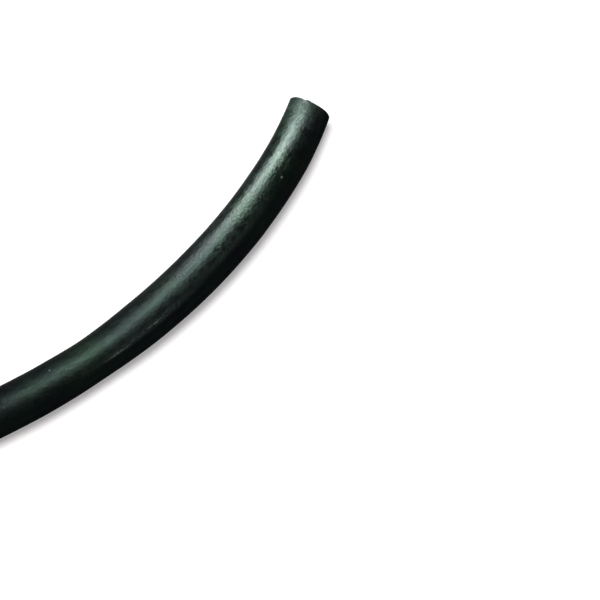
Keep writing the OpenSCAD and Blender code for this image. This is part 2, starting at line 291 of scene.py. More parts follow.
# Where the hose has its rings: in millimetres from the cut, then this many on the rest of
# the free run, in each turn and on the way to the coupling, and in millimetres along the
# straight inlet end
CUT_RINGS = np.concatenate([[0, 0.25, 0.6, 1.1, 1.8, 2.7], np.arange(4, 200, 1.5)])
FREE_RINGS = 59
RINGS_PER_TURN = 72
LEAD_RINGS = 90
END_RINGS = np.concatenate([[2, 4], np.arange(5, 25.1, 0.8), [25.4, 25.75, 26]])


def coil_points(sizes, turns):
    """Middle of the hose at these counts of turns from the coil's start."""
    pitch = sizes.diameter + sizes.turn_gap
    layer = np.minimum(np.floor(turns / sizes.layer_turns), sizes.layers - 1)
    inward = pitch * (turns - sizes.layer_turns * layer)
    inner = sizes.coil_radius - pitch * sizes.layer_turns
    radius = np.where(layer % 2 == 0, sizes.coil_radius - inward, inner + inward)
    climbed = sum(
        ease((turns - k * sizes.layer_turns) / sizes.climb_turns + 0.5)
        for k in range(1, sizes.layers)
    )
    height = COIL_FLOOR_GAP + sizes.diameter / 2 + pitch * climbed
    angle = np.radians(ENTRY_ANGLE - 360 * turns)
    return np.column_stack([COIL_X + radius * np.cos(angle), radius * np.sin(angle), height])


def inlet_route(sizes):
    """The points from the coil's end to the straight end that takes the coupling."""
    end = coil_points(sizes, np.array([sizes.layers * sizes.layer_turns]))[0]
    route = [end - [sizes.diameter, 0, 0]]
    for angle, outside, height in INLET_POINTS:
        r = sizes.coil_radius + outside * MM
        a = math.radians(angle)
        route.append([COIL_X + r * math.cos(a), r * math.sin(a), end[2] + height * MM])
    return np.array(route + [np.array(INLET_START) * MM])


def hose_centreline(sizes):
    """Middle of each ring of the hose, from the cut face to the inlet end."""
    r = sizes.diameter / 2
    start = coil_points(sizes, np.array([0.0]))[0]
    free = [(x * MM, y * MM, r + lift * MM) for x, y, lift in FREE_POINTS]
    free = smooth_curve(free + [start + [sizes.diameter, 0, 0]], INTO_HOSE, [-1, 0, 0])
    wanted = CUT_RINGS * MM
    rest = np.linspace(wanted[-1], along_curve(free)[-1], FREE_RINGS + 1)[1:]
    free = at_distances(free, np.concatenate([wanted, rest]))
    turns = sizes.layers * sizes.layer_turns
    coil = coil_points(sizes, np.linspace(0, turns, round(turns * RINGS_PER_TURN) + 1))
    lead = smooth_curve(inlet_route(sizes), [-1, 0, 0], [1, 0, 0])
    lead = at_distances(lead, np.linspace(0, along_curve(lead)[-1], LEAD_RINGS))
    end = lead[-1] + np.outer(END_RINGS * MM, [1, 0, 0])
    return np.concatenate([free, [start + [r, 0, 0]], coil, [coil[-1] - [r, 0, 0]], lead, end])


# -------------------- the hose itself

OUTER_SIDES = 48
INNER_SIDES = 24
# The loose end isn't quite even: distance from the cut, diameter, and how far its middle
# lies beside the route, towards the outside of the bend
LOOSE_END = [
    (0, 15.25, 0), (4, 15.45, 0), (14, 15.85, 0.05), (32, 16.3, 0.05), (55, 16.6, 0.18),
    (78, 16.65, 0.04), (97, 16.35, -0.07), (108, 15.9, 0), (118, 15.55, 0.15),
    (129, 15.8, 0.36), (142, 16.1, 0.58), (170, 16, 0.6), (215, 16, 0), (8000, 16, 0),
]
LOOSE_LENGTH = 0.2
LOOSE_FADE = 0.1
LUMP_SIZE = 9 * MM
LUMP_HEIGHT = 0.07 * MM
LUMP_FADE = 40 * MM
# The cut, in millimetres: its slant, its humps with their middles and widths in degrees,
# how deep its shape goes, and how its rim is rounded all round and more at the left
CUT_SLANT = 0.75
CUT_HUMPS = [(0.12, 42, 24), (0.2, 94, 10), (-0.35, 106, 5), (0.1, 140, 16)]
CUT_DEPTH = 3
RIM_ROUNDING = 0.16
LEFT_ROUNDING = (0.12, 175, 28)
# The inlet end is stretched over the tail, whose barbs show as faint ridges
INLET_END = 26 * MM
INLET_CONE = 4 * MM
BARB_STRETCH = 0.75 * MM
RIDGES_AT = (3.0, 4.9, 17.2, 19.6)
RIDGE_WIDTH = 0.9 * MM
RIDGE_HEIGHT = 0.16 * MM
END_ROUNDING = 0.3 * MM
END_ROUNDING_WIDTH = 0.35 * MM


def smooth_table(table, column, at):
    """Values from a column of a short table, read along a smooth line through it, which
    is level between the last two rows."""
    x = np.array([row[0] for row in table], float) * MM
    y = np.array([row[column] for row in table], float) * MM
    slope = np.gradient(y, x)
    slope[-2:] = 0.0
    i = np.clip(np.searchsorted(x, at, side="right") - 1, 0, len(x) - 2)
    gap = x[i + 1] - x[i]
    return between((at - x[i]) / gap, gap, y[i], y[i + 1], slope[i], slope[i + 1])


def bump(x, middle, width):
    """A smooth hump of height 1."""
    return np.exp(-(((x - middle) / width) ** 2))


def cut_shape(angle):
    """How far the rim of the cut end stands out, by degrees from its right side upwards."""
    a = np.where(angle > 270, angle - 360, angle)
    out = -CUT_SLANT * np.cos(np.radians(a))
    for height, middle, width in CUT_HUMPS:
        out = out + height * bump(a, middle, width)
    return MM * out


def hose_radii(sizes, run):
    """Outer and bore radius of the hose at each distance from the cut face."""
    back = run[-1] - run
    r = sizes.diameter / 2
    bore_r = r - sizes.wall
    barb_r = bore_r + BARB_STRETCH
    stretched = math.sqrt(barb_r ** 2 + r ** 2 - bore_r ** 2)
    cone = ease((INLET_END - back) / INLET_CONE)
    ridges = sum(bump(back, at * MM, RIDGE_WIDTH) for at in RIDGES_AT)
    outer = smooth_table(LOOSE_END, 1, run) / 2
    outer = outer + (stretched - r) * cone + RIDGE_HEIGHT * ridges * cone
    outer = outer - END_ROUNDING * bump(back, 0, END_ROUNDING_WIDTH)
    return outer, bore_r + (barb_r - bore_r) * cone


def hose_faces(rings):
    """Faces of the two walls and of the two end faces, all pointing out."""
    faces = []
    bore_at = rings * OUTER_SIDES
    for first, sides in ((0, OUTER_SIDES), (bore_at, INNER_SIDES)):
        for i in range(rings - 1):
            for k in range(sides):
                a = first + i * sides + k
                b = first + i * sides + (k + 1) % sides
                outwards = (a, a + sides, b + sides, b)
                inwards = (a, b, b + sides, a + sides)
                faces.append(inwards if first else outwards)
    step = OUTER_SIDES // INNER_SIDES
    for o, n in ((0, bore_at), ((rings - 1) * OUTER_SIDES, bore_at + (rings - 1) * INNER_SIDES)):
        for k in range(INNER_SIDES):
            outer = [o + (k * step + j) % OUTER_SIDES for j in range(step + 1)]
            inner = [n + k, n + (k + 1) % INNER_SIDES]
            face = outer + inner[::-1]
            faces.append(tuple(face) if o == 0 else tuple(face[::-1]))
    return faces


def around(sides):
    """The angles of a ring's points, from the one underneath."""
    return 2 * math.pi * np.arange(sides) / sides - math.pi / 2


def ring_points(middle, side, up, radius):
    """A ring of points for every middle, with a radius for every point."""
    angle = around(radius.shape[1])[None, :, None]
    spread = np.cos(angle) * side[:, None, :] + np.sin(angle) * up[:, None, :]
    return middle[:, None, :] + spread * radius[:, :, None]


def laid_straight(run, radius):
    """Where the rings' points would be on a hose laid straight along X."""
    angle = around(radius.shape[1])
    along = np.repeat(run[:, None], len(angle), axis=1)
    return np.stack([along, radius * np.cos(angle), radius * np.sin(angle)], axis=-1).reshape(-1, 3)


def build_hose(sizes):
    """The hose, and the middles of its rings."""
    middle = hose_centreline(sizes)
    run = along_curve(middle)
    ahead = np.gradient(middle, axis=0)
    ahead[0] = INTO_HOSE
    ahead[-1] = [1, 0, 0]
    ahead /= np.linalg.norm(ahead, axis=1)[:, None]
    side = np.cross(UP, ahead)
    side /= np.linalg.norm(side, axis=1)[:, None]
    up = np.cross(ahead, side)
    middle = middle + side * smooth_table(LOOSE_END, 2, run)[:, None]
    outer_r, bore_r = hose_radii(sizes, run)
    outer_r = np.repeat(outer_r[:, None], OUTER_SIDES, axis=1)
    bore_r = np.repeat(bore_r[:, None], INNER_SIDES, axis=1)
    angle = np.degrees(around(OUTER_SIDES)) % 360
    more, left, width = LEFT_ROUNDING
    rounding = MM * (RIM_ROUNDING + more * bump(angle, left, width))[None, :]
    depth = run[:, None] / rounding
    outer_r = outer_r - rounding * (1 - np.sqrt(np.clip(1 - (1 - np.clip(depth, 0, 1)) ** 2, 0, 1)))
    # The loose end lies on the floor, so its middle is as high as its own radius
    loose = 1 - ease((run - LOOSE_LENGTH) / LOOSE_FADE)
    middle = middle + np.outer((outer_r[:, 0] - sizes.diameter / 2) * loose, UP)
    middle[:, 2] = np.maximum(middle[:, 2], outer_r[:, 0])
    outer = ring_points(middle, side, up, outer_r)
    swell = np.array([[noise.noise(Vector(p / LUMP_SIZE)) for p in ring] for ring in outer])
    outer_r = outer_r + LUMP_HEIGHT * swell * ease((run[-1] - run) / LUMP_FADE)[:, None]
    # The cut isn't quite true: its shape fades into the wall within a few millimetres
    fade = np.exp(-run / (CUT_DEPTH * MM))[:, None, None]
    points, straight = [], []
    for radius, degrees in ((outer_r, angle), (bore_r, angle[::OUTER_SIDES // INNER_SIDES])):
        wall = ring_points(middle, side, up, radius)
        wall = wall - cut_shape(degrees)[None, :, None] * ahead[:, None, :] * fade
        points.append(wall.reshape(-1, 3))
        straight.append(laid_straight(run, radius))
    mesh = bpy.data.meshes.new("porous_hose")
    mesh.from_pydata(np.concatenate(points).tolist(), [], hose_faces(len(middle)))
    drawn = mesh.attributes.new("straight", "FLOAT_VECTOR", "POINT")
    drawn.data.foreach_set("vector", np.concatenate(straight).astype(np.float32).ravel())
    mesh.update()
    hose = placed("porous_hose", mesh)
    bpy.ops.object.shade_smooth_by_angle(angle=math.radians(50))
    return hose, middle


# -------------------- making by hand

THREAD_STEPS = 72
SECTION_CORNERS = 4
LEAST_RIDGE = 0.05


@contextmanager
def editing(piece):
    """Edit mode on a piece, which starts with all of it selected."""
    use(piece)
    bpy.ops.object.mode_set(mode="EDIT")
    bpy.ops.mesh.select_all(action="SELECT")
    yield
    bpy.ops.object.mode_set(mode="OBJECT")


def choose_faces(piece, wanted):
    """In edit mode, selects the faces whose middle and normal pass the test."""
    bpy.ops.mesh.select_mode(type="FACE")
    bpy.ops.mesh.select_all(action="DESELECT")
    mesh = bmesh.from_edit_mesh(piece.data)
    for face in mesh.faces:
        face.select_set(bool(wanted(face.calc_center_median(), face.normal)))
    bmesh.update_edit_mesh(piece.data)


def extrude(x, y, z):
    """In edit mode, extrudes what is selected by this much, in millimetres."""
    bpy.ops.mesh.extrude_region_move(TRANSFORM_OT_translate={"value": (x * MM, y * MM, z * MM)})


def close_up():
    """In edit mode, merges what lies together and turns all faces outwards."""
    bpy.ops.mesh.select_all(action="SELECT")
    bpy.ops.mesh.remove_doubles(threshold=0.001 * MM)
    bpy.ops.mesh.normals_make_consistent(inside=False)


def turned(name, outline, sides, solid=False):
    """A piece turned about the upright axis: a ring, extruded along its outline. Each
    point is a height and a radius in millimetres. A solid piece has a face at each end,
    and any other one closes on its first ring."""
    height, radius = outline[0]
    deselect_all()
    bpy.ops.mesh.primitive_circle_add(
        vertices=sides, radius=radius * MM, fill_type="NGON" if solid else "NOTHING",
    )
    piece = bpy.context.object
    piece.name = name
    with editing(piece):
        bpy.ops.transform.translate(value=(0, 0, height * MM))
        for (z, r), (next_z, next_r) in zip(outline, outline[1:]):
            extrude(0, 0, next_z - z)
            bpy.ops.transform.resize(
                value=(next_r / r, next_r / r, 1), center_override=(0, 0, next_z * MM)
            )
        close_up()
    return piece


def round_edges(piece, width, segments=2, sharp=30):
    """Rounds the edges that are sharper than this many degrees."""
    use(piece)
    bevel = piece.modifiers.new("rounded_edges", "BEVEL")
    bevel.width = width
    bevel.segments = segments
    bevel.limit_method = "ANGLE"
    bevel.angle_limit = math.radians(sharp)
    bpy.ops.object.modifier_apply(modifier=bevel.name)
    bpy.ops.object.shade_smooth_by_angle(angle=math.radians(sharp))


def thread_ridge(name, root, crest, foot, top, pitch, start, turns):
    """A right-handed thread about the upright axis: its section, wound by a Screw
    modifier. Its first and last half turn fade into the wall that it stands on."""
    deselect_all()
    bpy.ops.mesh.primitive_plane_add(size=MM, rotation=(math.pi / 2, 0, 0))
    ridge = bpy.context.object
    ridge.name = name
    bpy.ops.object.transform_apply()
    for corner in ridge.data.vertices:
        on_crest = corner.co.x > 0
        half = (top if on_crest else foot) / 2
        corner.co = (crest if on_crest else root, 0, start + math.copysign(half, corner.co.z))
    winding = ridge.modifiers.new("winding", "SCREW")
    winding.axis = "Z"
    winding.angle = 2 * math.pi
    winding.screw_offset = pitch
    winding.iterations = turns
    winding.steps = winding.render_steps = THREAD_STEPS
    bpy.ops.object.modifier_apply(modifier=winding.name)
    for number, point in enumerate(ridge.data.vertices):
        done = number // SECTION_CORNERS / THREAD_STEPS
        share = ease(2 * min(done, turns - done))
        radius = math.hypot(point.co.x, point.co.y)
        wanted = root + (radius - root) * (LEAST_RIDGE + (1 - LEAST_RIDGE) * share)
        point.co.x *= wanted / radius
        point.co.y *= wanted / radius
    with editing(ridge):
        close_up()
    bpy.ops.object.shade_smooth_by_angle(angle=math.radians(30))
    return ridge


def join(whole, *others):
    use(whole)
    for other in others:
        other.select_set(True)
    bpy.ops.object.join()


def seat(piece, place):
    """Moves a piece from the middle of the frame to its place, and leaves it untransformed."""
    use(piece)
    piece.matrix_world = place
    bpy.ops.object.transform_apply()


def softened(node, name, width):
    """A copy of a carried-over node, with its faces joined up and its edges rounded."""
    made = placed(name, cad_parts[node].data.copy())
    with editing(made):
        bpy.ops.mesh.remove_doubles(threshold=0.001 * MM)
        bpy.ops.mesh.dissolve_limited(angle_limit=math.radians(0.5))
    round_edges(made, width)
    return made


def swept(name, middles, outs, section, closed):
    """A flat strap: its section is set square to the path at each of the middles. A point
    of the section is its place along `outs` and its place along Z."""
    sides = len(section[0])
    count = len(middles)
    points = []
    for middle, out, row in zip(middles, outs, section):
        points += [tuple(middle + out * u + Vector((0, 0, v))) for u, v in row]
    faces = []
    for i in range(count if closed else count - 1):
        for k in range(sides):
            a = i * sides + k
            b = i * sides + (k + 1) % sides
            shift = sides if i < count - 1 else sides - count * sides
            faces.append((a, b, b + shift, a + shift))
    if not closed:
        faces.append(tuple(range(sides)))
        faces.append(tuple((count - 1) * sides + k for k in range(sides)))
    mesh = bpy.data.meshes.new(name)
    mesh.from_pydata(points, [], faces)
    strap = placed(name, mesh)
    with editing(strap):
        bpy.ops.mesh.normals_make_consistent(inside=False)
    bpy.ops.object.shade_smooth_by_angle(angle=math.radians(35))
    return strap


# -------------------- the coupling

hose_end_low, hose_end_high = (Vector(corner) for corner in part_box("hose_inlet_end"))
hose_end_middle = (hose_end_low + hose_end_high) / 2
# Places on the coupling are counted along its axis from the hose's end face
COUPLING_AT = Vector((hose_end_high.x, hose_end_middle.y, hose_end_middle.z))
ON_COUPLING = Matrix.Translation(COUPLING_AT) @ Matrix.Rotation(math.pi / 2, 4, "Y")

NUT_SIDES = 216
RIB_COUNT = 24
RIB_SIDES = 4
NECK_R = 7.6
BARREL_R = 15.55
RIB_TOP_R = 16.65
RIB_TOP_LENGTH = 0.93
THREAD_MAJOR_R = 13.65
THREAD_MINOR_R = 12.3
NUT_START = 0.6
LIP_END = 3.9
RIB_END = 21.1
THREAD_START = 11.3
THREAD_TURNS = 5
NUT_END = 24.1
NUT_EDGE = 1
MOUTH_EDGE = (0.5, 0.3)


def build_nut(sizes):
    """The swivel nut: a turned barrel with grip ribs and a cut thread."""
    mouth_deep, mouth_wide = MOUTH_EDGE
    nut = turned("ribbed_nut", [
        (NUT_START, NECK_R), (NUT_START, BARREL_R - NUT_EDGE), (NUT_START + NUT_EDGE, BARREL_R),
        (LIP_END, BARREL_R), (RIB_END, BARREL_R), (NUT_END - NUT_EDGE, BARREL_R),
        (NUT_END, BARREL_R - NUT_EDGE), (NUT_END, THREAD_MAJOR_R + mouth_wide),
        (NUT_END - mouth_deep, THREAD_MAJOR_R), (LIP_END, THREAD_MAJOR_R), (LIP_END, NECK_R),
        (NUT_START, NECK_R),
    ], NUT_SIDES)
    step = 360 / NUT_SIDES
    across = NUT_SIDES // RIB_COUNT

    def on_rib(middle, normal):
        number = math.floor(math.degrees(math.atan2(middle.y, middle.x)) / step + RIB_SIDES / 2)
        on_barrel = math.hypot(middle.x, middle.y) > (THREAD_MAJOR_R + 1) * MM
        return on_barrel and LIP_END * MM < middle.z < RIB_END * MM and number % across < RIB_SIDES

    with editing(nut):
        choose_faces(nut, on_rib)
        bpy.ops.mesh.extrude_region_move()
        grown = RIB_TOP_R / BARREL_R
        middle = (LIP_END + RIB_END) / 2 * MM
        bpy.ops.transform.resize(value=(grown, grown, RIB_TOP_LENGTH), center_override=(0, 0, middle))
    round_edges(nut, 0.28 * MM)
    thread = thread_ridge(
        "nut_thread", root=(THREAD_MAJOR_R + 0.15) * MM, crest=THREAD_MINOR_R * MM, foot=1.95 * MM,
        top=0.5 * MM, pitch=sizes.thread_pitch, start=THREAD_START * MM, turns=THREAD_TURNS,
    )
    join(nut, thread)
    seat(nut, ON_COUPLING)
    return nut


STRAINER_MIDDLE = 8.3
STRAINER_RIM_R = 8.6
STRAINER_NET_R = 7.4
STRAINER_RIM_T = 0.7
WIRE_PITCH = 1.7
WIRE_R = 0.19
WIRE_STEPS = 6
WIRE_SPARE = 0.4
WIRE_IN_RIM = 0.2


def build_wire():
    """One wire of the strainer's net, waved so that it passes over and under the others."""
    reach = STRAINER_NET_R + WIRE_SPARE
    count = round(2 * reach / WIRE_PITCH * WIRE_STEPS)
    places = [reach * (2 * i / count - 1) for i in range(count + 1)]
    heights = [WIRE_R * math.cos(math.pi * y / WIRE_PITCH) for y in places]
    deselect_all()
    bpy.ops.mesh.primitive_circle_add(
        vertices=8, radius=WIRE_R * MM, fill_type="NGON", rotation=(math.pi / 2, 0, 0),
    )
    wire = bpy.context.object
    bpy.ops.object.transform_apply()
    with editing(wire):
        bpy.ops.transform.translate(value=(0, places[0] * MM, heights[0] * MM))
        for i in range(count):
            extrude(0, places[i + 1] - places[i], heights[i + 1] - heights[i])
        close_up()
    bpy.ops.object.shade_smooth_by_angle(angle=math.radians(50))
    return wire


def build_strainer():
    """The strainer: a flat rim that holds a woven net of wires."""
    half = STRAINER_RIM_T / 2
    rim = turned("woven_strainer", [
        (-half, STRAINER_NET_R), (-half, STRAINER_RIM_R), (half, STRAINER_RIM_R),
        (half, STRAINER_NET_R), (-half, STRAINER_NET_R),
    ], 96)
    round_edges(rim, 0.15 * MM)
    first = build_wire()
    wires = []
    most = math.floor(STRAINER_NET_R / WIRE_PITCH)
    for number in range(-most, most + 1):
        reach = math.sqrt((STRAINER_NET_R + WIRE_IN_RIM) ** 2 - (number * WIRE_PITCH) ** 2) * MM
        for turn in (0, 1):
            wire = placed("wire", first.data.copy())
            wires.append(wire)
            with editing(wire):
                for way in (-1, 1):
                    bpy.ops.mesh.select_all(action="SELECT")
                    bpy.ops.mesh.bisect(
                        plane_co=(0, way * reach, 0), plane_no=(0, way, 0),
                        clear_outer=True, use_fill=True,
                    )
            flip = math.pi if (number + turn) % 2 else 0
            seat(
                wire, Matrix.Rotation(turn * math.pi / 2, 4, "Z")
                @ Matrix.Translation((number * WIRE_PITCH * MM, 0, 0)) @ Matrix.Rotation(flip, 4, "Y"),
            )
    bpy.data.objects.remove(first)
    join(rim, *wires)
    seat(rim, ON_COUPLING @ Matrix.Translation((0, 0, STRAINER_MIDDLE * MM)))
    return rim


# -------------------- the hose clamp

clamp_low, clamp_high = (Vector(corner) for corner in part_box("clamp_screw"))
worm_middle = (clamp_low + clamp_high) / 2
# The band is round the hose's axis here, and the screw is over it
BAND_AT = Vector((worm_middle.x, COUPLING_AT.y, COUPLING_AT.z))
AT_CLAMP = (
    Matrix.Translation(BAND_AT) @ Matrix.Rotation(math.pi / 2, 4, "Y") @ Matrix.Rotation(math.pi, 4, "Z")
)
AT_WORM = (
    AT_CLAMP @ Matrix.Translation((worm_middle.z - COUPLING_AT.z, 0, 0))
    @ Matrix.Rotation(-math.pi / 2, 4, "X")
)

BAND_IN_R = 8.6268
LAP_IN_R = 10.0268
LAP_OUT_R = 10.7268
BAND_T = 0.7
BAND_W = 9
SLOT_W = 6
# The strip is laid out in columns, of which a slot takes two and the bridge to the next one
BAND_COLUMNS = (-12, 152)
# Angles round the band, counted from the middle of the housing
RAMP = (258, 318)
SLOTTED = (252, 428)
CORNER_CUT = 4
SLOT_SLANT = 0.53
WORM_R = 3
WORM_ROOT_R = 2.25
WORM_NECK_R = 2.05
WORM_TURNS = 4
WORM_ENDS = 0.4
HEAD_START = 4.6
HEAD_LENGTH = 3.6
HEAD_ACROSS = 7
HEAD_EDGE = (0.35, 0.6)
HEAD_HOLLOW_R = 0.9
DRIVE_SLOT = (10, 1.2, 3.6)


def build_band(sizes):
    """The band: a strip with slots, bent round once and lapped over its own start."""
    first, last = BAND_COLUMNS
    columns = last - first
    column = math.degrees(sizes.worm_pitch / MM / LAP_OUT_R) / 3
    rows = (-BAND_W / 2, -SLOT_W / 2, SLOT_W / 2, BAND_W / 2)
    deselect_all()
    bpy.ops.mesh.primitive_grid_add(x_subdivisions=columns, y_subdivisions=3, size=1)
    band = bpy.context.object
    band.name = "slotted_band"

    def in_slot(middle, normal):
        number = first + math.floor((middle.x + 0.5) * columns)
        slotted = SLOTTED[0] < number * column < SLOTTED[1]
        return slotted and abs(middle.y) < 0.1 and (number + 1) % 3 < 2

    with editing(band):
        choose_faces(band, in_slot)
        bpy.ops.mesh.delete(type="FACE")
    for point in band.data.vertices:
        z = rows[round((point.co.y + 0.5) * 3)]
        share = point.co.x + 0.5
        angle = (first + share * columns) * column
        # The slots slant as the worm's thread does, and the strip's corners are cut back
        angle += SLOT_SLANT * z * ease(10 * min(share, 1 - share))
        if abs(z) > SLOT_W / 2:
            angle -= CORNER_CUT * (share > 1 - 0.5 / columns)
        climb = float(ease((angle - RAMP[0]) / (RAMP[1] - RAMP[0])))
        r = BAND_IN_R + BAND_T / 2 + (LAP_IN_R - BAND_IN_R) * climb
        a = math.radians(angle)
        point.co = Vector((r * math.cos(a), r * math.sin(a), z)) * MM
    wall = band.modifiers.new("strip", "SOLIDIFY")
    wall.thickness = BAND_T * MM
    wall.offset = 0
    bpy.ops.object.modifier_apply(modifier=wall.name)
    round_edges(band, 0.12 * MM, sharp=45)
    seat(band, AT_CLAMP)
    return band


def build_clamp_screw(sizes):
    """The clamp's screw: a worm on a necked shaft, with a slotted hexagon head."""
    worm_half = WORM_TURNS * sizes.worm_pitch / MM / 2 + WORM_ENDS
    screw = turned("worm_screw", [
        (-HEAD_START, WORM_NECK_R), (-worm_half, WORM_NECK_R), (-worm_half, WORM_ROOT_R),
        (worm_half, WORM_ROOT_R), (worm_half, WORM_NECK_R), (HEAD_START + 0.2, WORM_NECK_R),
    ], 48, solid=True)
    round_edges(screw, 0.12 * MM)
    thread = thread_ridge(
        "worm", root=(WORM_ROOT_R - 0.1) * MM, crest=WORM_R * MM, foot=1.1 * MM, top=0.4 * MM,
        pitch=sizes.worm_pitch, start=-WORM_TURNS * sizes.worm_pitch / 2, turns=WORM_TURNS,
    )
    corner_r = HEAD_ACROSS / math.sqrt(3)
    top = HEAD_START + HEAD_LENGTH
    edge_high, edge_in = HEAD_EDGE
    head = turned("head", [
        (HEAD_START, corner_r), (top - edge_high, corner_r), (top, corner_r - edge_in),
        (top, HEAD_HOLLOW_R),
    ], 6, solid=True)
    deselect_all()
    bpy.ops.mesh.primitive_cube_add(size=MM, location=(0, 0, top * MM), scale=DRIVE_SLOT)
    slot = bpy.context.object
    cut = head.modifiers.new("slot", "BOOLEAN")
    cut.operation = "DIFFERENCE"
    cut.object = slot
    cut.solver = "EXACT"
    use(head)
    bpy.ops.object.modifier_apply(modifier=cut.name)
    bpy.data.objects.remove(slot)
    round_edges(head, 0.16 * MM, sharp=20)
    join(screw, thread, head)
    seat(screw, AT_WORM)
    return screw


# -------------------- the cable ties

TIE_ANGLES = (0, 240, 120)
CORNER_POINTS = 48
STRAP_STEP = 3 * MM
STRAP_EDGE = 0.3 * MM
HEAD_LEAN = math.radians(35)
# The head, in millimetres: along the strap, across it and over it, then the wall round the
# hollow in each of its ends, that hollow's depth, and the pocket's wall and depth
TIE_HEAD = (7, 7.2, 4.4)
HEAD_WALL = 0.9
HEAD_WAY = 1.6
POCKET_WALL = 1.7
POCKET_DEPTH = 0.7
TIE_TAIL = 11
TAIL_IN_HEAD = 1.5
TAIL_GAP = 1
TOOTH = 1.1
TOOTH_ROOT = 0.72
TOOTH_DEPTH = 0.3


def round_outline(middles, radius):
    """The outline that a strap takes round these circles: close points, and the way out
    at each of them."""
    spread = 2 * math.pi * np.arange(CORNER_POINTS) / CORNER_POINTS
    ways = np.column_stack([np.cos(spread), np.sin(spread)])
    points = [(m[0] + radius * w[0], m[1] + radius * w[1], w[0], w[1]) for m in middles for w in ways]
    points = sorted(set(points))

    def half(some):
        chain = []
        for p in some:
            while len(chain) > 1:
                (ax, ay), (bx, by) = chain[-2][:2], chain[-1][:2]
                if (bx - ax) * (p[1] - ay) - (by - ay) * (p[0] - ax) > 1e-15:
                    break
                chain.pop()
            chain.append(p)
        return chain[:-1]

    hull = half(points) + half(points[::-1])
    outline, outs = [], []
    for i, p in enumerate(hull):
        q = hull[(i + 1) % len(hull)]
        steps = max(1, round(math.hypot(q[0] - p[0], q[1] - p[1]) / STRAP_STEP))
        for s in np.arange(steps) / steps:
            outline.append(Vector((p[0] + (q[0] - p[0]) * s, p[1] + (q[1] - p[1]) * s, 0)))
            way = Vector((p[2] + (q[2] - p[2]) * s, p[3] + (q[3] - p[3]) * s, 0))
            outs.append(way.normalized())
    return outline, outs


def strap_section(ties, tooth=0.0):
    """Section of the strap: place across its thickness and across its width. Its inner
    face is lower in the middle where there is a tooth's root."""
    t, w = ties.thickness / 2, ties.width / 2
    edge = STRAP_EDGE
    low = -t + tooth
    return [
        (t, -w + edge), (t, w - edge), (t - edge, w), (-t + edge, w), (-t, w - edge),
        (-t, 0.6 * w), (low, 0.56 * w), (low, -0.56 * w), (-t, -0.6 * w),
        (-t, -w + edge), (-t + edge, -w), (t - edge, -w),
    ]


def build_tie_head(ties, out_r):
    """A locking head over the strap's outer face, hollowed out from both ends."""
    long, wide, high = TIE_HEAD
    base = out_r - ties.thickness / 2
    top = out_r + high * MM
    deselect_all()
    bpy.ops.mesh.primitive_cube_add(
        size=1, location=((base + top) / 2, 0, 0), scale=(top - base, long * MM, wide * MM),
    )
    head = bpy.context.object
    bpy.ops.object.transform_apply()
    with editing(head):
        for way in (-1, 1):
            choose_faces(head, lambda middle, normal: normal.y * way > 0.9)
            bpy.ops.mesh.inset(thickness=HEAD_WALL * MM)
            extrude(0, -way * HEAD_WAY, 0)
        # The pocket over the pawl
        choose_faces(head, lambda middle, normal: normal.x > 0.9)
        bpy.ops.mesh.inset(thickness=POCKET_WALL * MM)
        extrude(-POCKET_DEPTH, 0, 0)
    round_edges(head, 0.4 * MM, segments=3)
    return head


def build_tie_tail(ties, out_r):
    """The trimmed tail, with the teeth that the head locks on."""
    half_head = TIE_HEAD[0] / 2
    x = out_r + TAIL_GAP * MM + ties.thickness / 2
    middles, rows = [], []
    for i in range(round(TIE_TAIL / TOOTH) + 1):
        for shift, tooth in ((0, 0), (TOOTH_ROOT, TOOTH_DEPTH)):
            y = (-half_head + TAIL_IN_HEAD - i * TOOTH - shift) * MM
            if y >= -(half_head + TIE_TAIL) * MM:
                middles.append(Vector((x, y, 0)))
                rows.append(strap_section(ties, tooth * MM))
    return swept("tail", middles, [Vector((1, 0, 0))] * len(middles), rows, closed=False)


def build_tie(number, ties, hose):
    """One cable tie: its strap round the turns, its locking head and its trimmed tail."""
    angle = TIE_ANGLES[number - 1]
    total = hose.layers * hose.layer_turns
    crossings = np.arange((ENTRY_ANGLE - angle) / 360, total, 1.0)
    turns = [(math.hypot(x - COIL_X, y), z) for x, y, z in coil_points(hose, crossings)]
    if number == 2:
        run = INLET_POINTS[TIED_POINT]
        top = coil_points(hose, np.array([total]))[0][2]
        turns.append((hose.coil_radius + run[1] * MM, top + run[2] * MM))
    middle_r = hose.diameter / 2 + ties.gap + ties.thickness / 2
    outline, outs = round_outline(turns, middle_r)
    section = [strap_section(ties)] * len(outline)
    strap = swept("cable_tie_%d" % number, outline, outs, section, closed=True)

    lean = Vector((math.cos(HEAD_LEAN), math.sin(HEAD_LEAN), 0))
    corner = max(turns, key=lambda turn: turn[0] * lean.x + turn[1] * lean.y)
    at_corner = Matrix.Translation((corner[0], corner[1], 0)) @ Matrix.Rotation(HEAD_LEAN, 4, "Z")
    out_r = middle_r + ties.thickness / 2
    head = build_tie_head(ties, out_r)
    tail = build_tie_tail(ties, out_r)
    for part in (head, tail):
        seat(part, at_corner)
    join(strap, head, tail)
    seat(
        strap, Matrix.Translation((COIL_X, 0, 0)) @ Matrix.Rotation(math.radians(angle), 4, "Z")
        @ Matrix.Rotation(math.pi / 2, 4, "X"),
    )
    return strap


# -------------------- materials

# Pale marks on the loose end, in millimetres: distance from the cut, degrees round the
# hose, half its length, half its width, and how pale it is. The first two are broad faint
# bands of painted highlight; the others are a scratch, a streak, a smudge at the cut and specks
PALE_MARKS = [
    (96, 58, 34, 1.9, 0.035), (60, 62, 32, 1.6, 0.02), (94, 58, 7, 0.4, 0.3),
    (110, 55, 8, 0.8, 0.1), (0.8, 104, 1.4, 1.2, 0.2), (28.8, 67.5, 0.7, 0.5, 0.3),
    (132.6, 113, 0.6, 0.4, 0.16),
]
# Roughness of the rubber: distance from the cut, and the value there
POLISH = [(0, 0.6), (8, 0.48), (19, 0.29), (45, 0.36), (150, 0.48)]
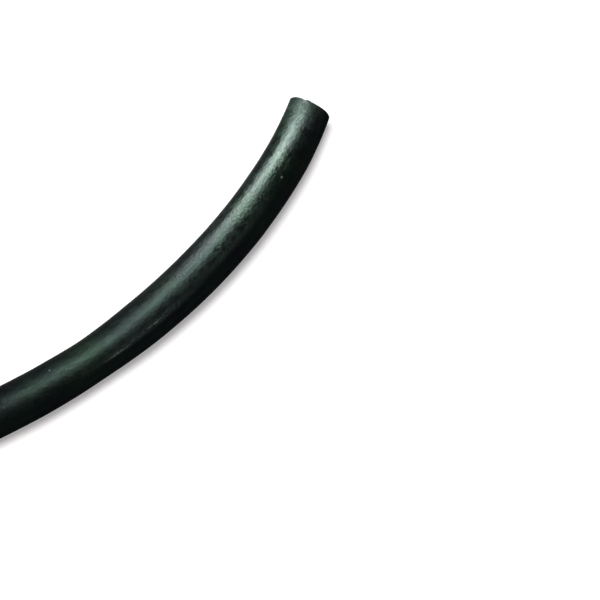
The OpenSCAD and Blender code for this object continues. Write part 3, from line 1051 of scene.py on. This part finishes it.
# The grey dust of the stored turns, and the painted top light that makes their tops lighter, set in
# between these distances from the cut
STORED = (0.16, 0.3)
# Light that the floor adds where it is looked at or mirrored
FLOOR_LIFT = 0.32


def pale_mark(tree, straight, radius, mark):
    """How pale the rubber is made by one of the marks."""
    run, degrees, long, wide, pale = mark
    a = math.radians(degrees)
    middle = (run * MM, radius * math.cos(a), radius * math.sin(a))
    across = per_metre(wide * MM)
    away = add_node(tree, "VectorMath", {0: straight, 1: middle}, operation="SUBTRACT")
    away = add_node(
        tree, "VectorMath", {0: away, 1: (per_metre(long * MM), across, across)}, operation="MULTIPLY",
    )
    away = add_node(tree, "VectorMath", {0: away}, operation="LENGTH")
    return add_node(
        tree, "MapRange", {"Value": away, "From Min": 0.1, "To Min": pale, "To Max": 0.0},
        interpolation_type="SMOOTHSTEP",
    )


def crumb_rubber(sizes):
    """Crumb rubber, extruded warm: recycled tyre crumbs bonded into a porous wall. Close
    to black, with a low sheen that the crumbs break up into drawn-out blotches, polished
    most a little way from the cut, where it has been handled, and pale in places, with a
    scratch, a streak, a smudge at the cut and specks, and two broad faint bands of painted highlight.
    The stored turns are dull and grey with dust, and their tops are painted lighter, a painted top light
    that shows their round form."""
    made, tree = new_material("crumb_rubber_extruded")
    r = sizes.diameter / 2
    straight = add_node(tree, "Attribute", attribute_name="straight").outputs["Vector"]
    place = add_node(tree, "SeparateXYZ", {"Vector": straight}).outputs
    drawn_out = add_node(tree, "Mapping", {"Vector": straight, "Scale": (0.6, 1, 1)})
    crumbs = add_node(
        tree, "TexNoise",
        {"Vector": straight, "Scale": per_metre(sizes.crumb), "Detail": 2.5, "Roughness": 0.6},
    )
    clumps = add_node(
        tree, "TexNoise",
        {"Vector": drawn_out, "Scale": per_metre(2.4 * sizes.crumb), "Detail": 3, "Roughness": 0.6},
    )
    patches = add_node(
        tree, "TexNoise", {"Vector": straight, "Scale": per_metre(14 * MM), "Detail": 2},
    )
    tint = add_node(
        tree, "ValToRGB", {"Fac": patches},
        stops=[(0.35, linear(sizes.rubber)), (0.65, linear("#070f0b"))],
    )

    # Grey dust on the stored turns, lighter towards the top of the hose: the lighter tops are painted top
    # light that shows the turns' round form.
    stored = add_node(
        tree, "MapRange", {"Value": place["X"], "From Min": STORED[0], "From Max": STORED[1]},
        interpolation_type="SMOOTHSTEP",
    )
    painted_top_light = add_node(
        tree, "MapRange", {"Value": place["Z"], "From Min": -0.4 * r, "From Max": r, "To Min": 0.1},
    )
    settled = add_node(
        tree, "MapRange", {"Value": clumps, "From Min": 0.3, "From Max": 0.7, "To Min": 0.6},
    )
    dust_and_top_light = add_node(tree, "Math", {0: stored, 1: painted_top_light}, operation="MULTIPLY")
    dust_and_top_light = add_node(tree, "Math", {0: dust_and_top_light, 1: settled}, operation="MULTIPLY")
    tint = add_node(
        tree, "Mix", {"Factor": dust_and_top_light, "A": tint, "B": linear("#343834")}, data_type="RGBA",
    )

    # Pale marks: the two broad faint bands are a painted highlight along the hose; the others are a
    # scratch, a streak, a smudge at the cut and specks.
    pale = pale_mark(tree, straight, r, PALE_MARKS[0])
    for mark in PALE_MARKS[1:]:
        other = pale_mark(tree, straight, r, mark)
        pale = add_node(tree, "Math", {0: pale, 1: other}, operation="MAXIMUM")
    broken = add_node(
        tree, "MapRange",
        {"Value": crumbs, "From Min": 0.35, "From Max": 0.65, "To Min": 0.3, "To Max": 1.7},
    )
    pale = add_node(tree, "Math", {0: pale, 1: broken}, operation="MULTIPLY")
    tint = add_node(
        tree, "Mix", {"Factor": pale, "A": tint, "B": linear("#a0b6aa")}, data_type="RGBA",
    )

    height = add_node(tree, "Math", {0: clumps, 1: 0.4}, operation="MULTIPLY")
    height = add_node(tree, "Math", {0: height, 1: crumbs}, operation="ADD")
    grain = add_node(tree, "Bump", {"Height": height, "Strength": 1.0, "Distance": 0.17 * MM})
    whole = POLISH[-1][0]
    share = add_node(tree, "Math", {0: place["X"], 1: per_metre(whole * MM)}, operation="MULTIPLY")
    handled = add_node(
        tree, "ValToRGB", {"Fac": share},
        stops=[(run / whole, (rough, rough, rough, 1.0)) for run, rough in POLISH],
    )
    rubbed = add_node(tree, "Math", {0: clumps, 1: crumbs}, operation="ADD")
    dulled = add_node(
        tree, "MapRange",
        {"Value": rubbed, "From Min": 0.75, "From Max": 1.25, "To Min": 0.16, "To Max": -0.16},
    )
    gloss = add_node(tree, "Math", {0: handled, 1: dulled}, operation="ADD")
    # At a glancing angle the crumbs hide one another's polished tops, but not on the
    # inside of the bend, where they are pressed together
    facing = add_node(tree, "LayerWeight", {"Blend": 0.5}).outputs["Facing"]
    glancing = add_node(
        tree, "MapRange", {"Value": facing, "From Min": 0.3, "From Max": 0.5, "To Max": 0.45},
        interpolation_type="SMOOTHSTEP",
    )
    stretched = add_node(
        tree, "MapRange", {"Value": place["Y"], "From Min": -0.62 * r, "From Max": -0.45 * r},
        interpolation_type="SMOOTHSTEP",
    )
    gloss = add_node(tree, "Math", {0: glancing, 1: stretched, 2: gloss}, operation="MULTIPLY_ADD")
    skin = add_node(
        tree, "BsdfPrincipled",
        {"Base Color": tint, "Roughness": gloss, "Normal": grain, "IOR": 1.5,
         "Specular IOR Level": 0.008},
    )
    add_node(tree, "OutputMaterial", {"Surface": skin})
    return made


def worked(name, light, dark, rough, patch, grain, height, sockets, stretch=(1, 1, 1)):
    """A finish that all the fittings share in its build: a base colour that varies in
    patches between two shades, and a grain that breaks up its gloss and its relief. The
    patches, the grain and its height are in millimetres."""
    made, tree = new_material(name)
    place = add_node(tree, "TexCoord").outputs["Object"]
    patches = add_node(
        tree, "TexNoise",
        {"Vector": place, "Scale": per_metre(patch * MM), "Detail": 4, "Roughness": 0.6},
    )
    shade = add_node(
        tree, "ValToRGB", {"Fac": patches}, stops=[(0.38, linear(dark)), (0.62, linear(light))],
    )
    drawn_out = add_node(tree, "Mapping", {"Vector": place, "Scale": stretch}, vector_type="TEXTURE")
    lines = add_node(
        tree, "TexNoise",
        {"Vector": drawn_out, "Scale": per_metre(grain * MM), "Detail": 3, "Roughness": 0.65},
    )
    gloss = add_node(
        tree, "MapRange",
        {"Value": lines, "From Min": 0.3, "From Max": 0.7, "To Min": rough[0], "To Max": rough[1]},
    )
    relief = add_node(tree, "Bump", {"Height": lines, "Strength": 1.0, "Distance": height * MM})
    skin = add_node(
        tree, "BsdfPrincipled", {"Base Color": shade, "Roughness": gloss, "Normal": relief, **sockets},
    )
    add_node(tree, "OutputMaterial", {"Surface": skin})
    return made


def turned_brass(sizes):
    """Brass, turned on a lathe and handled since: fine rings round its axis, and a
    browner tarnish in patches. The rings are drawn 0.12 mm apart so that they show."""
    return worked(
        "brass_turned", sizes.brass, "#c3a065", (0.16, 0.32), 9, 0.12, 0.004,
        {"Metallic": 1.0}, stretch=(1, 60, 60),
    )


def rolled_stainless(sizes):
    """Stainless strip, cold rolled and tumbled: an even grey with faint drawn-out lines
    and small, duller patches."""
    return worked(
        "stainless_strip_rolled", sizes.steel, "#9c9fa2", (0.22, 0.38), 5, 0.15, 0.004,
        {"Metallic": 1.0}, stretch=(1, 20, 20),
    )


def drawn_wire(sizes):
    """Stainless wire, drawn and woven: bright, with duller patches as wide as a mesh."""
    return worked(
        "stainless_wire_drawn", sizes.steel, "#85888b", (0.26, 0.45), 1.7, 0.2, 0.004,
        {"Metallic": 1.0},
    )


def bright_zinc(sizes):
    """Steel, zinc plated and passivated: a bright coat with bluish clouds and the fine
    pitting of a barrel-plated part."""
    return worked(
        "steel_zinc_plated", sizes.zinc, "#a5abb0", (0.2, 0.4), 3, 0.25, 0.008,
        {"Metallic": 1.0},
    )


def moulded_rubber(sizes):
    """Washer rubber, compression moulded: even and dull, with a slight bloom."""
    return worked(
        "nitrile_rubber_moulded", sizes.washer, "#1c1c1d", (0.5, 0.68), 4, 0.4, 0.02,
        {"IOR": 1.5, "Specular IOR Level": 0.35},
    )


def moulded_acetal(sizes):
    """Acetal, injection moulded: milky, with a soft gloss."""
    return worked(
        "acetal_moulded", sizes.acetal, "#d9d7cb", (0.3, 0.42), 4, 0.5, 0.006, {"IOR": 1.48},
    )


def moulded_nylon(ties):
    """Nylon 6.6, injection moulded in a lightly textured tool: black and satin, with
    paler patches from handling."""
    return worked(
        "nylon_moulded", ties.nylon, "#1f2021", (0.36, 0.52), 6, 0.35, 0.015,
        {"IOR": 1.53, "Specular IOR Level": 0.25},
    )


def seen_as_background(tree):
    """1 where a surface is looked at, mirrored or seen through glass, and otherwise 0."""
    path = add_node(tree, "LightPath").outputs
    seen = add_node(
        tree, "Math", {0: path["Is Camera Ray"], 1: path["Is Glossy Ray"]}, operation="MAXIMUM",
    )
    return add_node(tree, "Math", {0: seen, 1: path["Is Transmission Ray"]}, operation="MAXIMUM")


def white_floor():
    """Matt white board. It keeps the hose's shadow, and its light is topped up where it
    is looked at or mirrored, so that it is white there."""
    made, tree = new_material("matt_white_board")
    seen = seen_as_background(tree)
    board = add_node(tree, "BsdfDiffuse", {"Color": linear("#e9eae8")})
    strength = add_node(tree, "Math", {0: seen, 1: FLOOR_LIFT}, operation="MULTIPLY")
    lift = add_node(tree, "Emission", {"Color": linear("#fbf6f7"), "Strength": strength})
    both = add_node(tree, "AddShader", {0: board, 1: lift})
    add_node(tree, "OutputMaterial", {"Surface": both})
    return made


# -------------------- operators

LOOK_AT = Vector((0.199, -0.040, 0))
ROOM_WHITE = 1.12
KEY_TILT = math.radians(7.8)
KEY_AZIMUTH = math.radians(140)
KEY_ANGLE = math.radians(24)
STRIP_AIM = Vector((170, -25, 8)) * MM
# Each strip light: its name, place and sides in millimetres, roll, share of the power and
# colour
STRIPS = (
    ("long_strip", (146, 7.5, 86), (29, 190), math.radians(111.5), 0.64, "#deffec"),
    ("short_strip", (163.5, 32.5, 50.5), (20.5, 70), math.radians(102.5), 0.36, "#f6fff9"),
)


class SOAKER_OT_studio(bpy.types.Operator):
    """Adds the floor, the lights and the camera"""

    bl_idname = "soaker.studio"
    bl_label = "Studio"

    def execute(self, context):
        settings = context.scene.soaker_studio
        deselect_all()
        bpy.ops.mesh.primitive_plane_add(size=settings.floor_size, location=(0, 0, 0))
        floor = context.object
        floor.name = "floor"
        dress(floor, white_floor())

        world = bpy.data.worlds.new("pale_room")
        context.scene.world = world
        world.use_nodes = True
        tree = world.node_tree
        tree.nodes.clear()
        seen = seen_as_background(tree)
        glow = add_node(tree, "MapRange", {"Value": seen, "To Min": settings.fill, "To Max": ROOM_WHITE})
        room = add_node(tree, "Background", {"Color": linear("#f4f6f8"), "Strength": glow})
        add_node(tree, "OutputWorld", {"Surface": room})

        bpy.ops.object.light_add(type="SUN", location=(0, 0, 1.5))
        key = context.object
        key.name = "overhead_key"
        key.data.energy = settings.key
        key.data.angle = KEY_ANGLE
        towards = Vector((
            math.sin(KEY_TILT) * math.cos(KEY_AZIMUTH), math.sin(KEY_TILT) * math.sin(KEY_AZIMUTH),
            math.cos(KEY_TILT),
        ))
        key.rotation_euler = towards.to_track_quat("Z", "Y").to_euler()
        key.visible_glossy = False

        for name, place, sides, roll, share, tint in STRIPS:
            place = Vector(place) * MM
            bpy.ops.object.light_add(type="AREA", location=place)
            strip = context.object
            strip.name = name
            strip.data.shape = "RECTANGLE"
            strip.data.size = sides[0] * MM
            strip.data.size_y = sides[1] * MM
            strip.data.energy = settings.strips * share
            strip.data.color = linear(tint)[:3]
            aimed = (place - STRIP_AIM).to_track_quat("Z", "Y")
            strip.rotation_euler = (aimed @ Quaternion((0, 0, 1), roll)).to_euler()
            strip.visible_diffuse = False
            strip.visible_camera = False

        e = settings.camera_elevation
        back = Vector((0, -math.cos(e), math.sin(e)))
        bpy.ops.object.camera_add(location=LOOK_AT + back * settings.camera_distance)
        camera = context.object
        camera.name = "camera"
        camera.rotation_euler = back.to_track_quat("Z", "Y").to_euler()
        camera.data.lens = settings.lens
        camera.data.sensor_width = 36
        camera.data.clip_start = 0.01
        camera.data.clip_end = 100
        context.scene.camera = camera
        context.scene.view_settings.view_transform = "Standard"
        return {"FINISHED"}


class SOAKER_OT_hose(bpy.types.Operator):
    """Makes the hose, one tube from its cut end through the coil to the inlet coupling"""

    bl_idname = "soaker.hose"
    bl_label = "Hose"

    def execute(self, context):
        sizes = context.scene.soaker_hose
        hose, middle = build_hose(sizes)
        hand_over(
            hose, "hose", "hose_rubber", crumb_rubber(sizes),
            "hose_cut_end", "hose_free_run", "hose_coil", "hose_inlet_run", "hose_inlet_end",
        )
        return {"FINISHED"}


class SOAKER_OT_coupling(bpy.types.Operator):
    """Makes the swivel nut and the strainer, and finishes the pieces that they hold"""

    bl_idname = "soaker.coupling"
    bl_label = "Inlet Coupling"

    def execute(self, context):
        sizes = context.scene.soaker_coupling
        metal = turned_brass(sizes)
        hand_over(build_nut(sizes), "nut", "brass", metal, "swivel_nut")
        hand_over(build_strainer(), "nut", "stainless_wire", drawn_wire(sizes), "strainer_screen")
        dress(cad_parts["barbed_tail"], metal)
        dress(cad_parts["inlet_washer"], moulded_rubber(sizes))
        dress(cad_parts["flow_restrictor"], moulded_acetal(sizes))
        return {"FINISHED"}


class SOAKER_OT_clamp(bpy.types.Operator):
    """Makes the band, the housing and the screw of the hose clamp"""

    bl_idname = "soaker.clamp"
    bl_label = "Hose Clamp"

    def execute(self, context):
        sizes = context.scene.soaker_coupling
        steel = rolled_stainless(sizes)
        hand_over(build_band(sizes), "hose", "stainless_strip", steel, "clamp_band")
        housing = softened("clamp_housing", "worm_housing", 0.18 * MM)
        hand_over(housing, "hose", "stainless_strip", steel, "clamp_housing")
        hand_over(build_clamp_screw(sizes), "worm", "zinc_steel", bright_zinc(sizes), "clamp_screw")
        return {"FINISHED"}


class SOAKER_OT_ties(bpy.types.Operator):
    """Makes the three cable ties round the coil"""

    bl_idname = "soaker.ties"
    bl_label = "Cable Ties"

    def execute(self, context):
        ties = context.scene.soaker_ties
        nylon = moulded_nylon(ties)
        for number in (1, 2, 3):
            tie = build_tie(number, ties, context.scene.soaker_hose)
            hand_over(tie, "hose", "nylon", nylon, "coil_tie_%d" % number)
        return {"FINISHED"}


class SOAKER_PT_panel(bpy.types.Panel):
    """Lists the sizes of the soaker hose and the operators that make it"""

    bl_label = "Soaker Hose"
    bl_idname = "SOAKER_PT_panel"
    bl_space_type = "VIEW_3D"
    bl_region_type = "UI"
    bl_category = "Soaker Hose"

    def draw(self, context):
        for settings in GROUPS:
            box = self.layout.box()
            group = getattr(context.scene, settings)
            for name in group.__annotations__:
                box.prop(group, name)
        for operator in OPERATORS:
            self.layout.operator(operator.bl_idname)


GROUPS = {
    "soaker_hose": HoseSizes, "soaker_ties": TieSizes,
    "soaker_coupling": CouplingSizes, "soaker_studio": StudioSettings,
}
OPERATORS = (
    SOAKER_OT_studio, SOAKER_OT_hose, SOAKER_OT_coupling, SOAKER_OT_clamp, SOAKER_OT_ties,
)


def register():
    for name, group in GROUPS.items():
        bpy.utils.register_class(group)
        setattr(bpy.types.Scene, name, PointerProperty(type=group))
    for operator in OPERATORS:
        bpy.utils.register_class(operator)
    bpy.utils.register_class(SOAKER_PT_panel)


def unregister():
    bpy.utils.unregister_class(SOAKER_PT_panel)
    for operator in reversed(OPERATORS):
        bpy.utils.unregister_class(operator)
    for name, group in GROUPS.items():
        delattr(bpy.types.Scene, name)
        bpy.utils.unregister_class(group)


def main():
    register()
    bpy.ops.soaker.studio()
    bpy.ops.soaker.hose()
    bpy.ops.soaker.coupling()
    bpy.ops.soaker.clamp()
    bpy.ops.soaker.ties()


if __name__ == "__main__":
    main()
